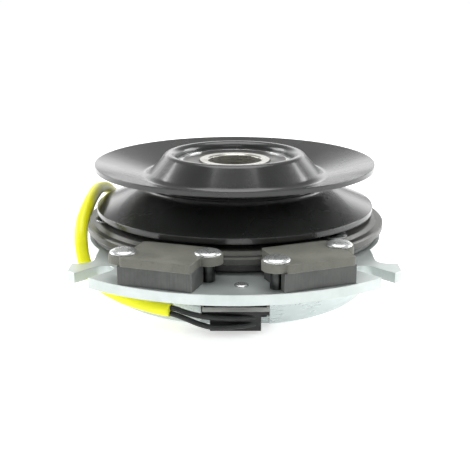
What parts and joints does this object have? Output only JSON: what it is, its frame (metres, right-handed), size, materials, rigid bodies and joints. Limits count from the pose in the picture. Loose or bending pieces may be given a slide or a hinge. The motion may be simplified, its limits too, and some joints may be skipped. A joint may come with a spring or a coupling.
{
  "type": "electromagnetic clutch brake with belt pulley",
  "caption": "Electromagnetic clutch with a black V-belt pulley, armature, magnet brakes, zinc field plate with anti-rotation slots, and a sleeved lead.",
  "frame": {"origin": "on the shaft axis, at the hub's lower face, which is level with the bottom of the field cup", "axes": "+Z along the shaft axis towards the pulley; -Y towards the brakes and the lead boot"},
  "size_m": [0.1588, 0.2665, 0.0718],
  "materials": {
    "zinc_plate": "bright zinc plated",
    "zinc_cup": "bright zinc plated",
    "pole_steel": "machined",
    "bobbin": "moulded",
    "copper": "enamelled wire",
    "tape": "woven wrap",
    "potting": "cast resin",
    "boot": "moulded, satin",
    "rivet_zinc": "bright zinc plated",
    "brake_steel": "phosphated, matte",
    "magnet_housing": "phosphated, matte",
    "magnet": "sintered",
    "spacer_steel": "turned",
    "bearing_steel": "ground",
    "bearing_bright": "ground and polished",
    "bearing_shield": "satin",
    "cage_steel": "pressed",
    "ball_steel": "polished",
    "hub_steel": "turned",
    "rotor_steel": "machined",
    "friction": "friction material",
    "spring_steel": "blued",
    "pulley_black": "gloss black coating",
    "carrier_steel": "phosphated",
    "armature_steel": "phosphated, matte",
    "wire_black": "extruded, satin",
    "sleeve_yellow": "fluorescent yellow sleeving",
    "connector_black": "moulded",
    "tie_black": "nylon"
  },
  "bodies": {
    "field": {"field_plate": "zinc_plate", "field_cup": "zinc_cup", "field_core": "pole_steel", "coil_bobbin": "bobbin", "coil_winding": "copper", "coil_tape": "tape", "coil_cover": "potting", "lead_boot": "boot", "plate_rivet": "rivet_zinc", "brake_plate_left": "brake_steel", "brake_plate_right": "brake_steel", "magnet_holder_left": "magnet_housing", "magnet_holder_right": "magnet_housing", "brake_magnets": "magnet", "brake_spacers": "spacer_steel", "brake_rivets": "rivet_zinc", "field_bearing_outer": "bearing_steel", "field_bearing_shields": "bearing_shield", "wire_upper": "wire_black", "wire_lower": "wire_black", "sleeve_run": "sleeve_yellow", "sleeve_coil": "sleeve_yellow", "tail_wires": "wire_black", "lead_connector": "connector_black", "connector_lock": "connector_black", "coil_tie": "tie_black"},
    "rotor": {"rotor_hub": "hub_steel", "rotor_disc": "rotor_steel", "friction_ring": "friction", "hub_snap_ring": "spring_steel", "spacer_sleeve": "hub_steel", "field_bearing_inner": "bearing_steel", "pulley_bearing_inner": "bearing_bright"},
    "pulley": {"pulley_upper": "pulley_black", "pulley_lower": "pulley_black", "pulley_bearing_outer": "bearing_steel", "pulley_bearing_shields": "bearing_shield", "spring_carrier": "carrier_steel", "carrier_rivets": "spacer_steel", "web_rivets": "spacer_steel", "leaf_spring": "spring_steel"},
    "armature": {"armature_plate": "armature_steel", "armature_rivets": "rivet_zinc"},
    "field_cage": {"field_bearing_cage": "cage_steel", "field_bearing_balls": "ball_steel"},
    "pulley_cage": {"pulley_bearing_cage": "cage_steel", "pulley_bearing_balls": "ball_steel"}
  },
  "joints": [
    {"name": "rotor_spin", "type": "hinge", "parent": "field", "child": "rotor", "pos_m": [0, 0, 0.0115], "axis": [0, 0, 1], "continuous": true},
    {"name": "field_cage_spin", "type": "hinge", "parent": "field", "child": "field_cage", "pos_m": [0, 0, 0.0115], "axis": [0, 0, 1], "continuous": true},
    {"name": "pulley_spin", "type": "hinge", "parent": "rotor", "child": "pulley", "pos_m": [0, 0, 0.0602], "axis": [0, 0, 1], "continuous": true},
    {"name": "pulley_cage_spin", "type": "hinge", "parent": "rotor", "child": "pulley_cage", "pos_m": [0, 0, 0.0602], "axis": [0, 0, 1], "continuous": true},
    {"name": "armature_pull", "type": "slide", "parent": "pulley", "child": "armature", "axis": [0, 0, -1], "range_m": [0, 0.0005], "stiffness_N_per_m": 40000, "springref_m": -0.0005, "deforming": ["leaf_spring"]}
  ],
  "couplings": [
    {"joint": "field_cage_spin", "follows": "rotor_spin", "ratio": 0.428},
    {"joint": "pulley_cage_spin", "follows": "pulley_spin", "ratio": 0.602}
  ]
}
